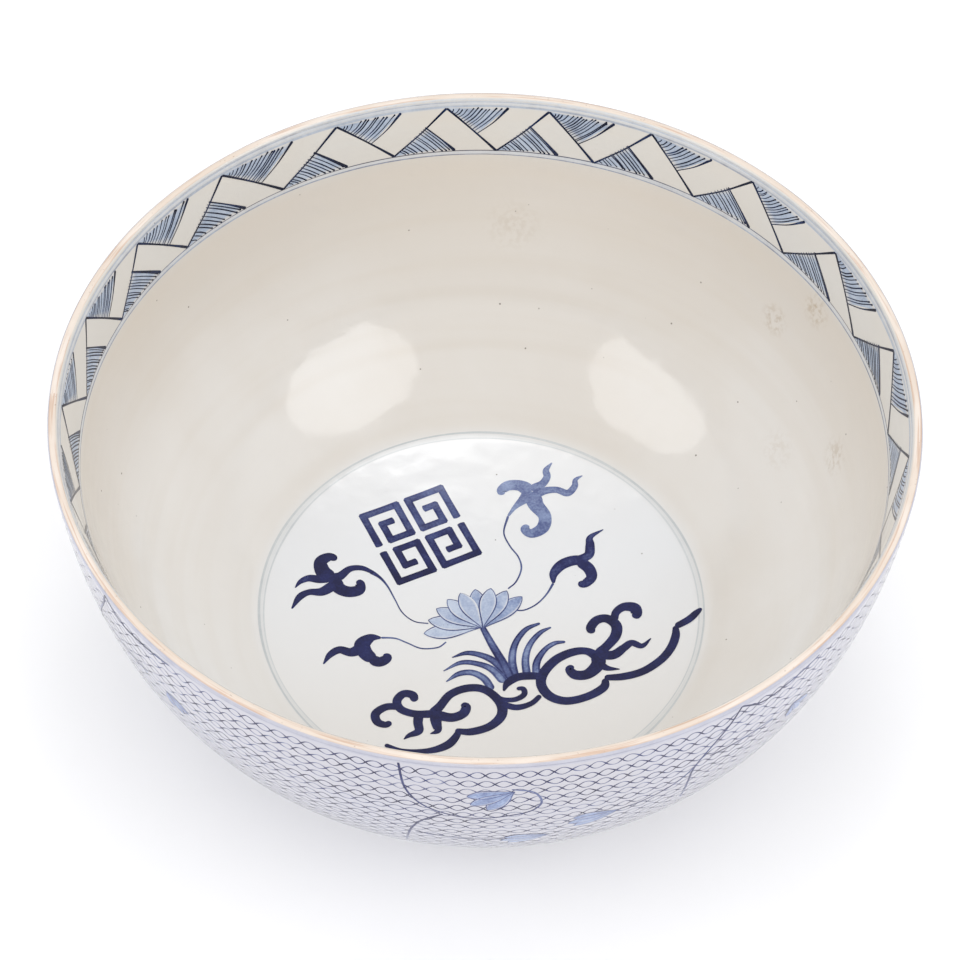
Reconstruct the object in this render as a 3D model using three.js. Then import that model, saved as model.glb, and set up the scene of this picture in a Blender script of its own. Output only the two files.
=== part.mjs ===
// Large porcelain serving bowl: a thrown body on a turned foot ring, cobalt painting laid on the
// clay, and coats of clear glaze over both. Millimetres, +Z up, origin at the centre of the plane
// that the foot stands on. Every piece is turned about Z, on the same angular steps, so layers
// that were fired onto each other follow each other's faces a hairline apart.
import * as THREE from "three";

// Driving dimensions
const rimRadius = 200; // outermost line of the lip
const bowlHeight = 188;
const lipWidth = 4.5; // bare rounded crown of the lip
const lipDrop = 2; // crown to where the glaze starts
const wellRadius = 111; // ring where the wall turns into the floor
const wellHeight = 32;
const wellSlope = 7.2; // degrees, floor at that ring
const footHeight = 16; // where the foot ring is luted to the body
const footRadius = 104.5;
const footWellRadius = 93;
const footTaper = 1.5; // the foot's outside draws in by this much on its way down
const contactInset = 1.8; // foot's side to its flat contact face
const bareFoot = 4; // height of the unglazed edge of the foot
const glazeThickness = 0.8;
const paintThickness = 0.2;
const hairline = 0.02; // left between a layer and what it lies on
const borderTop = 183.5; // painted border inside the lip
const borderBottom = 156.5;
const medallionRadius = 105.2; // painted disc in the well
const ringInner = 106; // painted double ring at the edge of the well
const ringOuter = 110.4;
const outsideTop = 184; // painted net on the outside
const outsideBottom = 20;
const turnSteps = 40;

const clay = { color: 0xe9dccb, roughness: 0.75, metalness: 0 };
const glaze = { color: 0xe3e0dc, roughness: 0.12, metalness: 0 };
const paleCobalt = { color: 0xb4c4dc, roughness: 0.2, metalness: 0 };
const darkCobalt = { color: 0x39437c, roughness: 0.2, metalness: 0 };

// Wall faces as the eye sees them, on the glaze, from the lip down
const outsideWall = new THREE.CubicBezierCurve(
  new THREE.Vector2(rimRadius, bowlHeight - lipDrop),
  new THREE.Vector2(rimRadius - 7.5, bowlHeight - 108),
  new THREE.Vector2(footRadius + 40.5, footHeight + 19.5),
  new THREE.Vector2(footRadius, footHeight),
);
const insideWall = new THREE.CubicBezierCurve(
  new THREE.Vector2(rimRadius - lipWidth, bowlHeight - lipDrop),
  new THREE.Vector2(rimRadius - 20, bowlHeight - 41.5),
  new THREE.Vector2(rimRadius - 13.8, bowlHeight - 111.5),
  new THREE.Vector2(wellRadius, wellHeight),
);

// The point of a falling curve at a given radius or height
function pointAt(curve, axis, value) {
  let low = 0;
  let high = 1;
  while (high - low > 1e-9) {
    const middle = (low + high) / 2;
    if (curve.getPoint(middle)[axis] > value) low = middle;
    else high = middle;
  }
  return curve.getPoint(low);
}

// The dished floor is a shallow spherical cap that reaches the well ring at wellSlope
function floorPoint(radius) {
  const sphere = wellRadius / Math.sin(THREE.MathUtils.degToRad(wellSlope));
  const rise = Math.sqrt(sphere ** 2 - radius ** 2) - Math.sqrt(sphere ** 2 - wellRadius ** 2);
  return new THREE.Vector2(radius, wellHeight - rise);
}

// A face moved by a distance to the left of its run; an end on the axis moves straight up or down
function shifted(face, distance) {
  return face.map((point, i) => {
    const before = face[Math.max(i - 1, 0)];
    const after = face[Math.min(i + 1, face.length - 1)];
    const run = after.clone().sub(before).normalize();
    if (point.x === 0) run.set(Math.sign(run.x), 0);
    return new THREE.Vector2(point.x - run.y * distance, point.y + run.x * distance);
  });
}

// A solid turned about Z from a closed outline, or one whose two ends lie on the axis
function turned(name, outline, finish) {
  const onAxis = outline[0].x === 0;
  const profile = onAxis ? outline : [...outline, outline[0]];
  const geometry = new THREE.LatheGeometry(profile, turnSteps).rotateX(Math.PI / 2);
  const mesh = new THREE.Mesh(geometry, new THREE.MeshStandardMaterial(finish));
  mesh.name = name;
  return mesh;
}

// Inside face, from the middle of the floor out and up to the lip
function insideFace() {
  const floorRadii = [0, 40, 76, medallionRadius, ringInner, ringOuter, wellRadius];
  const wallHeights = [33.5, 40, 51, 65, 82, 102, 124, borderBottom, 170, borderTop];
  return [
    ...floorRadii.map(floorPoint),
    ...wallHeights.map((height) => pointAt(insideWall, "y", height)),
    insideWall.getPoint(0),
  ];
}

// Outside face, from the lip down to the foot
function outsideFace() {
  const heights = [outsideTop, 160, 132, 106, 83, 63, 46, 32, outsideBottom];
  return [
    outsideWall.getPoint(0),
    ...heights.map((height) => pointAt(outsideWall, "y", height)),
    outsideWall.getPoint(1),
  ];
}

// The surfaces of one face's layers, as shifts into the clay
function layersUnder(face) {
  return {
    clay: shifted(face, -glazeThickness),
    glazeOnClay: shifted(face, hairline - glazeThickness),
    paintTop: shifted(face, paintThickness - glazeThickness),
    glazeOnPaint: shifted(face, paintThickness + hairline - glazeThickness),
  };
}

const inside = insideFace();
const insideLayers = layersUnder(inside);
const outside = outsideFace();
const outsideLayers = layersUnder(outside);
const jointRadius = footRadius - glazeThickness;
outsideLayers.clay.at(-1).set(jointRadius, footHeight);
outsideLayers.glazeOnClay.at(-1).set(jointRadius + hairline, footHeight);

// First and last index of a painted zone on a face
function zone(face, axis, from, to) {
  const near = (value) => face.findIndex((point) => Math.abs(point[axis] - value) < 1e-3);
  return [near(from), near(to)];
}

const medallion = zone(inside, "x", 0, medallionRadius);
const ring = zone(inside, "x", ringInner, ringOuter);
const border = zone(inside, "y", borderBottom, borderTop);
const net = zone(outside, "y", outsideTop, outsideBottom);

// The underside of a glaze coat: on the clay, and stepping up over each painted zone
function underGlaze(layers, zones) {
  return layers.glazeOnClay.flatMap((onClay, i) => {
    const painted = zones.find(([first, last]) => i >= first && i <= last);
    if (!painted) return [onClay];
    const onPaint = layers.glazeOnPaint[i];
    if (i === painted[0] && onClay.x > 0) return [onClay, onPaint];
    if (i === painted[1]) return [onPaint, onClay];
    return [onPaint];
  });
}

function paintLayer(name, layers, [first, last], finish) {
  const under = layers.glazeOnClay.slice(first, last + 1);
  const over = layers.paintTop.slice(first, last + 1).reverse();
  return turned(name, [...under, ...over], finish);
}

// Wall, floor and lip, thrown in one; the crown of the lip is the only clay that shows above the foot
function thrownBody() {
  const crown = [
    new THREE.Vector2(rimRadius - lipWidth * 0.82, bowlHeight - 0.55),
    new THREE.Vector2(rimRadius - lipWidth * 0.5, bowlHeight),
    new THREE.Vector2(rimRadius - lipWidth * 0.16, bowlHeight - 0.6),
  ];
  const outline = [
    new THREE.Vector2(0, footHeight),
    new THREE.Vector2(footWellRadius + glazeThickness, footHeight),
    ...outsideLayers.clay.slice().reverse(),
    ...crown.reverse(),
    ...insideLayers.clay.slice().reverse(),
  ];
  return turned("thrown_body", outline, clay);
}

// Clay corners of the foot: side, start of the bare edge, contact face
const footSideLow = jointRadius - footTaper;
const footWellSide = footWellRadius + glazeThickness;

function footRing() {
  const outline = [
    new THREE.Vector2(footWellSide, footHeight),
    new THREE.Vector2(footWellSide, bareFoot),
    new THREE.Vector2(footWellSide + contactInset / 2, contactInset / 2),
    new THREE.Vector2(footWellSide + contactInset, 0),
    new THREE.Vector2(footSideLow - contactInset, 0),
    new THREE.Vector2(footSideLow - contactInset / 2, contactInset / 2),
    new THREE.Vector2(footSideLow, bareFoot),
    new THREE.Vector2(jointRadius, footHeight),
  ];
  return turned("foot_ring", outline, clay);
}

function insideGlaze() {
  const under = underGlaze(insideLayers, [medallion, ring, border]);
  return turned("inside_glaze", [...under, ...inside.slice().reverse()], glaze);
}

function outsideGlaze() {
  const under = underGlaze(outsideLayers, [net]);
  const outline = [
    ...under,
    new THREE.Vector2(footSideLow + hairline, bareFoot),
    new THREE.Vector2(footSideLow + glazeThickness, bareFoot),
    ...outside.slice().reverse(),
  ];
  return turned("outside_glaze", outline, glaze);
}

function footWellGlaze() {
  const ceiling = footHeight - glazeThickness;
  const fillet = 2.5;
  const outline = [
    new THREE.Vector2(0, ceiling),
    new THREE.Vector2(footWellRadius - fillet, ceiling),
    new THREE.Vector2(footWellRadius, ceiling - fillet),
    new THREE.Vector2(footWellRadius, bareFoot),
    new THREE.Vector2(footWellSide, bareFoot),
    new THREE.Vector2(footWellSide, footHeight),
    new THREE.Vector2(0, footHeight),
  ];
  return turned("foot_well_glaze", outline, glaze);
}

const bowl = new THREE.Group();
bowl.name = "serving_bowl";
bowl.add(
  thrownBody(),
  footRing(),
  paintLayer("medallion_painting", insideLayers, medallion, darkCobalt),
  paintLayer("well_ring_painting", insideLayers, ring, paleCobalt),
  paintLayer("border_painting", insideLayers, border, darkCobalt),
  paintLayer("outside_painting", outsideLayers, net, paleCobalt),
  insideGlaze(),
  outsideGlaze(),
  footWellGlaze(),
);

export default bowl;
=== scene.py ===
import math
import random

import bmesh
import bpy
import numpy as np
from mathutils import Euler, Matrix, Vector


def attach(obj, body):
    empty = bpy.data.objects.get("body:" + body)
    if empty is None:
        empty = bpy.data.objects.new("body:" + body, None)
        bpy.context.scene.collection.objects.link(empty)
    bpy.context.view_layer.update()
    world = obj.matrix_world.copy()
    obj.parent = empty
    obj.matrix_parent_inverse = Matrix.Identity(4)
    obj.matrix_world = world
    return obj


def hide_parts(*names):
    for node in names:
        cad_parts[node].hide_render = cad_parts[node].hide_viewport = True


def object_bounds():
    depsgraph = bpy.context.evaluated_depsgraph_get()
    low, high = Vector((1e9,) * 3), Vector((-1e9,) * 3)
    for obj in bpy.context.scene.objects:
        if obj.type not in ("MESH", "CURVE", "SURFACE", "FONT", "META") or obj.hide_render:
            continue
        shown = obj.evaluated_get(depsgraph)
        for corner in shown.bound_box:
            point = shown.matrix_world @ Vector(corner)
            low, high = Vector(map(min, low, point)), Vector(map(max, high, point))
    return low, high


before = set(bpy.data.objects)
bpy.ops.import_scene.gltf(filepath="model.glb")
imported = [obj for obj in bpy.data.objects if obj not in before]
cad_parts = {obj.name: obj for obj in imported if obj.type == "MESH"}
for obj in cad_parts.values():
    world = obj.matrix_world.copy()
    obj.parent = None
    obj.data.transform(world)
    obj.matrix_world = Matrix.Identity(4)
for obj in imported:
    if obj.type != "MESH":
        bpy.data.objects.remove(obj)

cadLow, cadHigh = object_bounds()
rimRadius = cadHigh.x
bowlHeight = cadHigh.z
mm = 0.001
randomHand = random.Random(7)


class Wire:  # sums on wires add Math nodes, everything else comes from node()
    def __init__(self, tree, socket=None):
        self.tree = tree
        self.socket = socket

    def node(self, kind, values=None, out=0, stops=None, **settings):
        made = self.tree.nodes.new(kind)
        for name, value in settings.items():
            setattr(made, name, value)
        if stops:
            ramp = made.color_ramp
            while len(ramp.elements) < len(stops):
                ramp.elements.new(1)
            for element, (place, colour) in zip(ramp.elements, stops):
                element.position = place
                element.color = (*colour, 1)
        for key, value in (values or {}).items():
            if isinstance(value, Wire):
                self.tree.links.new(value.socket, made.inputs[key])
            else:
                made.inputs[key].default_value = value
        return Wire(self.tree, made.outputs[out] if made.outputs else None)

    def math(self, operation, *terms):
        return self.node("ShaderNodeMath", dict(enumerate(terms)), operation=operation)

    def part(self, out):  # another output of the same node
        return Wire(self.tree, self.socket.node.outputs[out])

    def axes(self):
        split = self.node("ShaderNodeSeparateXYZ", {0: self})
        return split, split.part(1), split.part(2)

    def __add__(self, other):
        return self.math("ADD", self, other)

    def __radd__(self, other):
        return self.math("ADD", other, self)

    def __sub__(self, other):
        return self.math("SUBTRACT", self, other)

    def __rsub__(self, other):
        return self.math("SUBTRACT", other, self)

    def __mul__(self, other):
        return self.math("MULTIPLY", self, other)

    def __rmul__(self, other):
        return self.math("MULTIPLY", other, self)

    def __truediv__(self, other):
        return self.math("DIVIDE", self, other)

    def between(self, low, high):  # 0 below low, 1 above high, smooth in between
        values = {"Value": self, "From Min": low, "From Max": high}
        return self.node("ShaderNodeMapRange", values, interpolation_type="SMOOTHSTEP")

    def mix(self, *colours):  # the first colour where this wire is 0, the second where it is 1
        a, b = (c if isinstance(c, Wire) else (*c, 1) for c in colours)
        return self.node("ShaderNodeMix", {0: self, 6: a, 7: b}, out=2, data_type="RGBA")


def srgb(red, green, blue):
    def linear(value):
        share = value / 255
        return share / 12.92 if share <= 0.04045 else ((share + 0.055) / 1.055) ** 2.4

    return (linear(red), linear(green), linear(blue))


# the turned faces are lines of (radius, height) in metres
shape = {
    "lipWidth": 4.5 * mm,
    "lipDrop": 2 * mm,
    "crownShift": 0.1 * mm,  # the crown stands this far outside the glazed edges
    "crownHandle": 0.66 * mm,
    "insideHandles": [(13.8 * mm, 111.5 * mm), (20 * mm, 41.5 * mm)],  # in from the rim and down
    "outsideHandle": (7.5 * mm, 108 * mm),
    "shoulderHandle": (40.5 * mm, 19.5 * mm),  # out and up from the foot
    "wellRadius": 111 * mm,
    "wellHeight": 32 * mm,
    "wellSlope": math.radians(7.2),
    "footHeight": 16 * mm,
    "footRadius": 104.5 * mm,
    "footWellRadius": 93 * mm,
    "footTaper": 1.5 * mm,
    "contactInset": 1.8 * mm,
    "footWellFillet": 5 * mm,
    "bareFoot": 4 * mm,
    "glaze": 0.8 * mm,
    "coatGap": 0.1 * mm,  # the coats lie this far over the clay
    "glazeRoll": 0.28 * mm,  # the glaze gathers a little before it stops at the lip
    "rollPlace": 1.4 * mm,
    "rollReach": 1.1 * mm,
    "creep": 0.12 * mm,  # how far the coats stand on the bare crown where they run over it
    "lineStep": 1.4 * mm,
    "turnSteps": 256,
    "sharpAngle": math.radians(35),
}


def bezier(handles, count):
    t = np.linspace(0, 1, count)[:, None]
    a, b, c, d = (np.array(h, float) for h in handles)
    return (1 - t) ** 3 * a + 3 * (1 - t) ** 2 * t * b + 3 * (1 - t) * t**2 * c + t**3 * d


def runAlong(line):  # each point's distance from the line's start
    return np.concatenate([[0], np.cumsum(np.hypot(*np.diff(line, axis=0).T))])


def evened(line, step):  # the same line with evenly spaced points
    run = runAlong(line)
    marks = np.linspace(0, run[-1], int(run[-1] / step) + 1)
    return np.stack([np.interp(marks, run, line[:, 0]), np.interp(marks, run, line[:, 1])], 1)


def eased(line, reach):  # rounds a crease off over a few points and keeps both ends
    window = np.hanning(2 * reach + 3)[1:-1]
    window /= window.sum()
    before = 2 * line[0] - line[1 : reach + 1][::-1]
    after = 2 * line[-1] - line[-reach - 1 : -1][::-1]
    padded = np.concatenate([before, line, after])
    return np.stack([np.convolve(padded[:, k], window, "valid") for k in (0, 1)], 1)


def newObject(name, data):
    made = bpy.data.objects.new(name, data)
    bpy.context.scene.collection.objects.link(made)
    return made


def shifted(line, distance):  # to the left of the line's run
    run = np.gradient(line, axis=0)
    run /= np.hypot(run[:, 0], run[:, 1])[:, None]
    moved = line + distance * np.stack([-run[:, 1], run[:, 0]], 1)
    moved[line[:, 0] < 1e-9, 0] = 0
    return moved


class Face:  # one turned face: depth is measured along the line from its start
    def __init__(self, line):
        self.line = line
        self.run = runAlong(line)

    def depthAtRadius(self, radius):  # only where the radius grows along the line
        return np.interp(radius, self.line[:, 0], self.run)

    def depthAtHeight(self, height):
        order = np.argsort(self.line[:, 1])
        return np.interp(height, self.line[order, 1], self.run[order])

    def guide(self, name):  # the line as a curve that a node tree can sample
        curve = bpy.data.curves.new(name, "CURVE")
        curve.dimensions = "3D"
        spline = curve.splines.new("POLY")
        spline.points.add(len(self.line) - 1)
        places = [(r, 0, z, 1) for r, z in self.line]
        spline.points.foreach_set("co", np.array(places).ravel())
        return newObject(name, curve)


def lipCrown():  # from the inside edge over the bare crown to the outside edge
    s = shape
    innerRadius = rimRadius - s["lipWidth"] - s["crownShift"]
    start = (innerRadius, bowlHeight - s["lipDrop"])
    inner = (innerRadius, bowlHeight + s["crownHandle"])
    outer = (rimRadius + s["crownShift"], bowlHeight + s["crownHandle"])
    end = (rimRadius - s["crownShift"], bowlHeight - s["lipDrop"])
    return bezier([start, inner, outer, end], 24)


def insideLine():
    s = shape
    sphere = s["wellRadius"] / math.sin(s["wellSlope"])
    radii = np.linspace(0, s["wellRadius"], 120)
    rise = np.sqrt(sphere**2 - radii**2) - math.sqrt(sphere**2 - s["wellRadius"] ** 2)
    floor = np.stack([radii, s["wellHeight"] - rise], 1)
    start = (s["wellRadius"], s["wellHeight"])
    low, high = ((rimRadius - inward, bowlHeight - down) for inward, down in s["insideHandles"])
    end = (rimRadius - s["lipWidth"], bowlHeight - s["lipDrop"])
    wall = bezier([start, low, high, end], 400)
    creep = shifted(lipCrown(), s["creep"])[1:7]
    line = eased(evened(np.concatenate([floor, wall[1:]]), s["lineStep"]), 4)
    fromLip = np.hypot(*(line - line[-1]).T)
    swell = s["glazeRoll"] * np.exp(-(((fromLip - s["rollPlace"]) / s["rollReach"]) ** 2))
    return np.concatenate([shifted(line, swell[:, None]), creep])


def outsideLine():
    s = shape
    start = (rimRadius, bowlHeight - s["lipDrop"])
    high = (rimRadius - s["outsideHandle"][0], bowlHeight - s["outsideHandle"][1])
    low = (s["footRadius"] + s["shoulderHandle"][0], s["footHeight"] + s["shoulderHandle"][1])
    wall = bezier([start, high, low, (s["footRadius"], s["footHeight"])], 400)
    foot = np.array([(s["footRadius"] - s["footTaper"], s["bareFoot"])])
    creep = shifted(lipCrown(), s["creep"])[-6:-1]
    return np.concatenate([creep, eased(evened(np.concatenate([wall, foot]), s["lineStep"]), 2)])


inside = Face(insideLine())
outside = Face(outsideLine())


def turn(name, outline, material):
    steps = shape["turnSteps"]
    angles = np.arange(steps) * 2 * math.pi / steps
    rings = len(outline)
    radius, height = outline[:, 0][:, None], outline[:, 1][:, None]
    places = np.stack([radius * np.cos(angles), radius * np.sin(angles), height + 0 * angles], 2)
    closed = outline[0, 0] > 1e-9
    faces = []
    for i in range(rings if closed else rings - 1):
        below, above = i * steps, (i + 1) % rings * steps
        for k in range(steps):
            n = (k + 1) % steps
            faces.append((below + k, below + n, above + n, above + k))
    mesh = bpy.data.meshes.new(name)
    mesh.from_pydata(places.reshape(-1, 3).tolist(), [], faces)
    solid = bmesh.new()
    solid.from_mesh(mesh)
    bmesh.ops.remove_doubles(solid, verts=solid.verts, dist=1e-7)
    bmesh.ops.recalc_face_normals(solid, faces=solid.faces)
    solid.to_mesh(mesh)
    solid.free()
    mesh.shade_smooth()
    mesh.set_sharp_from_angle(angle=shape["sharpAngle"])
    mesh.materials.append(material)
    return newObject(name, mesh)


def settle(piece, slot, *nodes):  # what every finished piece needs
    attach(piece, "root")
    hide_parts(*nodes)
    print("  ", piece.name, len(piece.data.polygons), "faces")
    return piece


glazeLook = {
    # painted reflection: the back and front tones of the wall and the floor below shift with how
    # reflections fall
    "wall": srgb(224, 221, 217),
    "frontWall": srgb(229, 228, 226),
    # painted shade: darker tones for the top of the wall and the ground of the border
    "paintedShadeUpperWall": srgb(204, 196, 186),
    "paintedShadeBorderGround": srgb(206, 203, 198),
    "floor": srgb(227, 229, 232),
    "frontFloor": srgb(229, 227, 224),
    "outside": srgb(187, 187, 198),
    "shade": srgb(206, 196, 182),
    "speck": srgb(96, 84, 74),
    "stain": srgb(160, 134, 96),
    "stains": [  # place, reach and strength
        ((0.1415, 0.1106, 0.1235), 0.011, 0.45),
        ((0.159, 0.0955, 0.1478), 0.012, 0.5),
        ((0.1694, 0.0391, 0.1061), 0.013, 0.32),
        ((0.012, 0.173, 0.118), 0.02, 0.16),
        ((0.148, 0.067, 0.075), 0.016, 0.14),
    ],
    "wellEdge": (0.104, 0.116),  # radius where the floor's tone turns into the wall's
    "paintedReflectionFrontToBack": (-0.11, 0.05),  # along y; painted reflection: the inside's tones turn from front to back, the back of the floor cooler where it mirrors the bright wall
    "paintedShadeRise": (0.06, 0.175),  # heights over which the wall's top darkens, a painted shade
    # heights where the painted shade at the top turns to the border's ground
    "paintedShadeBorderRise": (0.15, 0.162),
    "insideShade": (0.3, 0.16),  # strength of clouds and of throwing streaks
    "outsideShade": (0.1, 0.06),
    "speckCell": 150.0,
    "speckSize": (0.05, 0.095),
    "speckRarity": (0.93, 0.95),
    "roughness": 0.06,
    "roughnessSpread": 0.07,
    "throwingHeight": 0.00011,
    "peelHeight": 0.000012,
    "waveHeight": 0.0003,
    "refraction": 1.52,
}

cobaltLook = {
    "pooling": 0.5,  # how far the ink's depth strays in pools and in grains
    "grain": 0.3,
    "gloss": 0.32,
    "tones": {  # from a thin wash to a full brush
        "violet": [
            (0.0, srgb(192, 203, 222)),
            (0.3, srgb(140, 156, 192)),
            (0.55, srgb(78, 90, 138)),
            (0.8, srgb(26, 32, 88)),
            (1.0, srgb(8, 9, 60)),
        ],
        "mist": [(0.0, srgb(200, 206, 208)), (1.0, srgb(112, 128, 142))],
        "haze": [(0.0, srgb(188, 189, 201)), (1.0, srgb(92, 98, 132))],
        "slate": [
            (0.0, srgb(188, 199, 214)),
            (0.3, srgb(140, 160, 188)),
            (0.55, srgb(70, 90, 126)),
            (0.8, srgb(26, 40, 74)),
            (1.0, srgb(12, 20, 42)),
        ],
    },
}


def newMaterial(name):  # with a bench to wire it on and the place on the piece
    material = bpy.data.materials.new(name)
    material.use_nodes = True
    material.node_tree.nodes.clear()
    bench = Wire(material.node_tree)
    return material, bench, bench.node("ShaderNodeTexCoord", out="Object")


def closeMaterial(bench, values):
    shader = bench.node("ShaderNodeBsdfPrincipled", values)
    bench.node("ShaderNodeOutputMaterial", {"Surface": shader})


def noise(bench, where, scale, detail=2, stretch=None):
    if stretch:
        where = bench.node("ShaderNodeMapping", {"Vector": where, "Scale": stretch})
    values = {"Vector": where, "Scale": scale, "Detail": detail}
    return bench.node("ShaderNodeTexNoise", values)


def bumps(bench, height):
    return bench.node("ShaderNodeBump", {"Height": height, "Distance": 1.0, "Strength": 1.0})


def insideTone(bench, where):  # the bare glaze inside with painted reflection from front to back and painted shade at the wall's top, and how far clouds and streaks shade it
    look = glazeLook
    x, y, z = where.axes()
    radius = bench.math("SQRT", x * x + y * y)
    onFloor = 1 - radius.between(*look["wellEdge"])
    # painted reflection: the wall's and the floor's tones shift from front to back
    back = y.between(*look["paintedReflectionFrontToBack"])
    wall = back.mix(look["frontWall"], look["wall"])
    floor = back.mix(look["frontFloor"], look["floor"])
    tone = onFloor.mix(wall, floor)
    # painted shade: the wall darkens towards its top and at the border
    tone = z.between(*look["paintedShadeRise"]).mix(tone, look["paintedShadeUpperWall"])
    tone = z.between(*look["paintedShadeBorderRise"]).mix(tone, look["paintedShadeBorderGround"])
    return tone, 1 - onFloor * 0.75


def stained(bench, where, colour):  # soft brown patches
    look = glazeLook
    fine = noise(bench, where, 380, 5).between(0.4, 0.66)
    for place, reach, strength in look["stains"]:
        values = {0: where, 1: place}
        gap = bench.node("ShaderNodeVectorMath", values, out=1, operation="DISTANCE")
        stain = (1 - gap.between(reach * 0.1, reach)) * fine * strength
        colour = stain.mix(colour, look["stain"])
    return colour


def glazeGround(bench, where, side):  # the glaze's own colour, gloss and relief at a place
    look = glazeLook
    cloud = noise(bench, where, 9, 4).between(0.38, 0.68)
    streak = noise(bench, where, 1, 3, (4, 4, 95)).between(0.42, 0.75)
    cloudShare, streakShare = look[side + "Shade"]
    shade = cloud * cloudShare + streak * streakShare
    if side == "inside":
        tone, shadeShare = insideTone(bench, where)
        shade = shade * shadeShare
    else:
        tone = look["outside"]
    colour = shade.mix(tone, look["shade"])
    cell = bench.node("ShaderNodeTexVoronoi", {"Vector": where, "Scale": look["speckCell"]})
    chance = bench.node("ShaderNodeSeparateColor", {0: cell.part("Color")})
    speck = (1 - cell.between(*look["speckSize"])) * chance.between(*look["speckRarity"])
    colour = (speck * 0.8).mix(colour, look["speck"])
    if side == "inside":
        colour = stained(bench, where, colour)
    rings = noise(bench, where, 1, 2, (3, 3, 120))
    peel = noise(bench, where, 420, 1)
    wave = noise(bench, where, 46, 2)
    relief = rings * look["throwingHeight"] + peel * look["peelHeight"] + wave * look["waveHeight"]
    roughness = look["roughness"] + noise(bench, where, 38, 3) * look["roughnessSpread"]
    surface = {"Roughness": roughness, "Normal": bumps(bench, relief), "IOR": look["refraction"]}
    return colour, surface


def glazeMaterial(name, side):
    material, bench, where = newMaterial(name)
    colour, surface = glazeGround(bench, where, side)
    closeMaterial(bench, surface | {"Base Color": colour})
    return material


def cobaltMaterial(name, side, tones):  # cobalt under the glaze: ink is its depth, cover its spread
    look = cobaltLook
    material, bench, where = newMaterial(name)
    ground, surface = glazeGround(bench, where, side)
    ink = bench.node("ShaderNodeAttribute", attribute_name="ink", out="Fac")
    cover = bench.node("ShaderNodeAttribute", attribute_name="cover", out="Fac")
    pool = noise(bench, where, 130, 3)
    grain = noise(bench, where, 900, 2)
    depth = ink + (pool - 0.5) * look["pooling"] + (grain - 0.5) * look["grain"]
    paint = bench.node("ShaderNodeValToRGB", {0: depth}, stops=look["tones"][tones])
    colour = bench.math("MINIMUM", cover, 1).mix(ground, paint)
    closeMaterial(bench, surface | {"Base Color": colour, "Specular IOR Level": look["gloss"]})
    return material


clayLook = {
    "clay": srgb(212, 198, 185),
    "pale": srgb(222, 212, 203),
    "rust": srgb(190, 157, 134),
    "speck": srgb(120, 92, 70),
    "rustRim": (rimRadius - 1.3 * mm, rimRadius - 0.2 * mm),  # radius where the rust sets in
    "streaksFrom": (0.1, 0.15),  # heights, so that only the lip is streaked
    "grimeUnder": (bowlHeight - 1.9 * mm, bowlHeight - 0.9 * mm),
    "grainHeight": 0.00006,
}


def clayMaterial(name):
    look = clayLook
    material, bench, where = newMaterial(name)
    x, y, z = where.axes()
    radius = bench.math("SQRT", x * x + y * y)
    cloud = noise(bench, where, 26, 4).between(0.35, 0.7)
    colour = cloud.mix(look["clay"], look["pale"])
    edge = radius.between(*look["rustRim"])
    rust = edge * noise(bench, where, 60, 3).between(0.3, 0.65) * 0.75
    colour = rust.mix(colour, look["rust"])
    angle = bench.math("ARCTAN2", y, x)
    lane = bench.node("ShaderNodeCombineXYZ", {0: radius * 900, 1: angle * 5, 2: z * 500})
    streak = noise(bench, lane, 1, 3).between(0.5, 0.66)
    atLip = z.between(*look["streaksFrom"])
    colour = (streak * atLip * 0.7).mix(colour, look["rust"])
    fleck = noise(bench, where, 700, 2).between(0.68, 0.78)
    colour = (fleck * 0.5).mix(colour, look["speck"])
    fine = noise(bench, where, 300, 4).between(0.5, 0.68)
    broad = noise(bench, where, 12, 2).between(0.4, 0.6)
    grime = (1 - z.between(*look["grimeUnder"])) * edge * fine * broad
    colour = (grime * 0.75).mix(colour, look["speck"])
    roughness = 0.55 + noise(bench, where, 200, 3) * 0.3
    relief = bumps(bench, noise(bench, where, 500, 4) * look["grainHeight"])
    closeMaterial(bench, {"Base Color": colour, "Roughness": roughness, "Normal": relief})
    return material


insideGlaze = glazeMaterial("insideGlaze", "inside")
outsideGlaze = glazeMaterial("outsideGlaze", "outside")
bareClay = clayMaterial("bareClay")
borderCobalt = cobaltMaterial("borderCobalt", "inside", "slate")
wellCobalt = cobaltMaterial("wellCobalt", "inside", "violet")
ringCobalt = cobaltMaterial("ringCobalt", "inside", "mist")
bandCobalt = cobaltMaterial("bandCobalt", "outside", "haze")
outsideCobalt = cobaltMaterial("outsideCobalt", "outside", "violet")
print("finishes made")


def thrownBody():
    s = shape
    jointRadius = s["footRadius"] - s["glaze"]
    wall = shifted(outside.line, -s["glaze"])
    wall = wall[wall[:, 1] > s["footHeight"] + 0.5 * mm]  # the rest lies inside the joint
    floor = np.array([(0, s["footHeight"]), (jointRadius, s["footHeight"])])
    under = shifted(inside.line, -s["glaze"])[::-1]
    outline = np.concatenate([floor, wall[::-1][::2], lipCrown()[::-1], under[1::2], under[-1:]])
    return turn("thrown_body_clay", outline, bareClay)


def footRing():
    s = shape
    inner = s["footWellRadius"] + s["glaze"]
    side = s["footRadius"] - s["glaze"]
    low = side - s["footTaper"]
    inset = s["contactInset"]
    bare = s["bareFoot"]
    innerToe = [(inner, bare), (inner, inset), (inner + inset / 2, 0), (inner + inset, 0)]
    outerToe = [(low - inset, 0), (low - inset / 2, 0), (low, inset), (low, bare)]
    top = [(side, s["footHeight"]), (inner, s["footHeight"])]
    outline = np.concatenate([bezier(innerToe, 8), bezier(outerToe, 8), top])
    return turn("foot_ring_clay", outline, bareClay)


def coat(name, face, material):  # a coat of glaze, with fewer rings on its hidden side
    under = shifted(face.line, shape["coatGap"] - shape["glaze"])[::-1]
    return turn(name, np.concatenate([face.line, under[::3], under[-1:]]), material)


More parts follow.
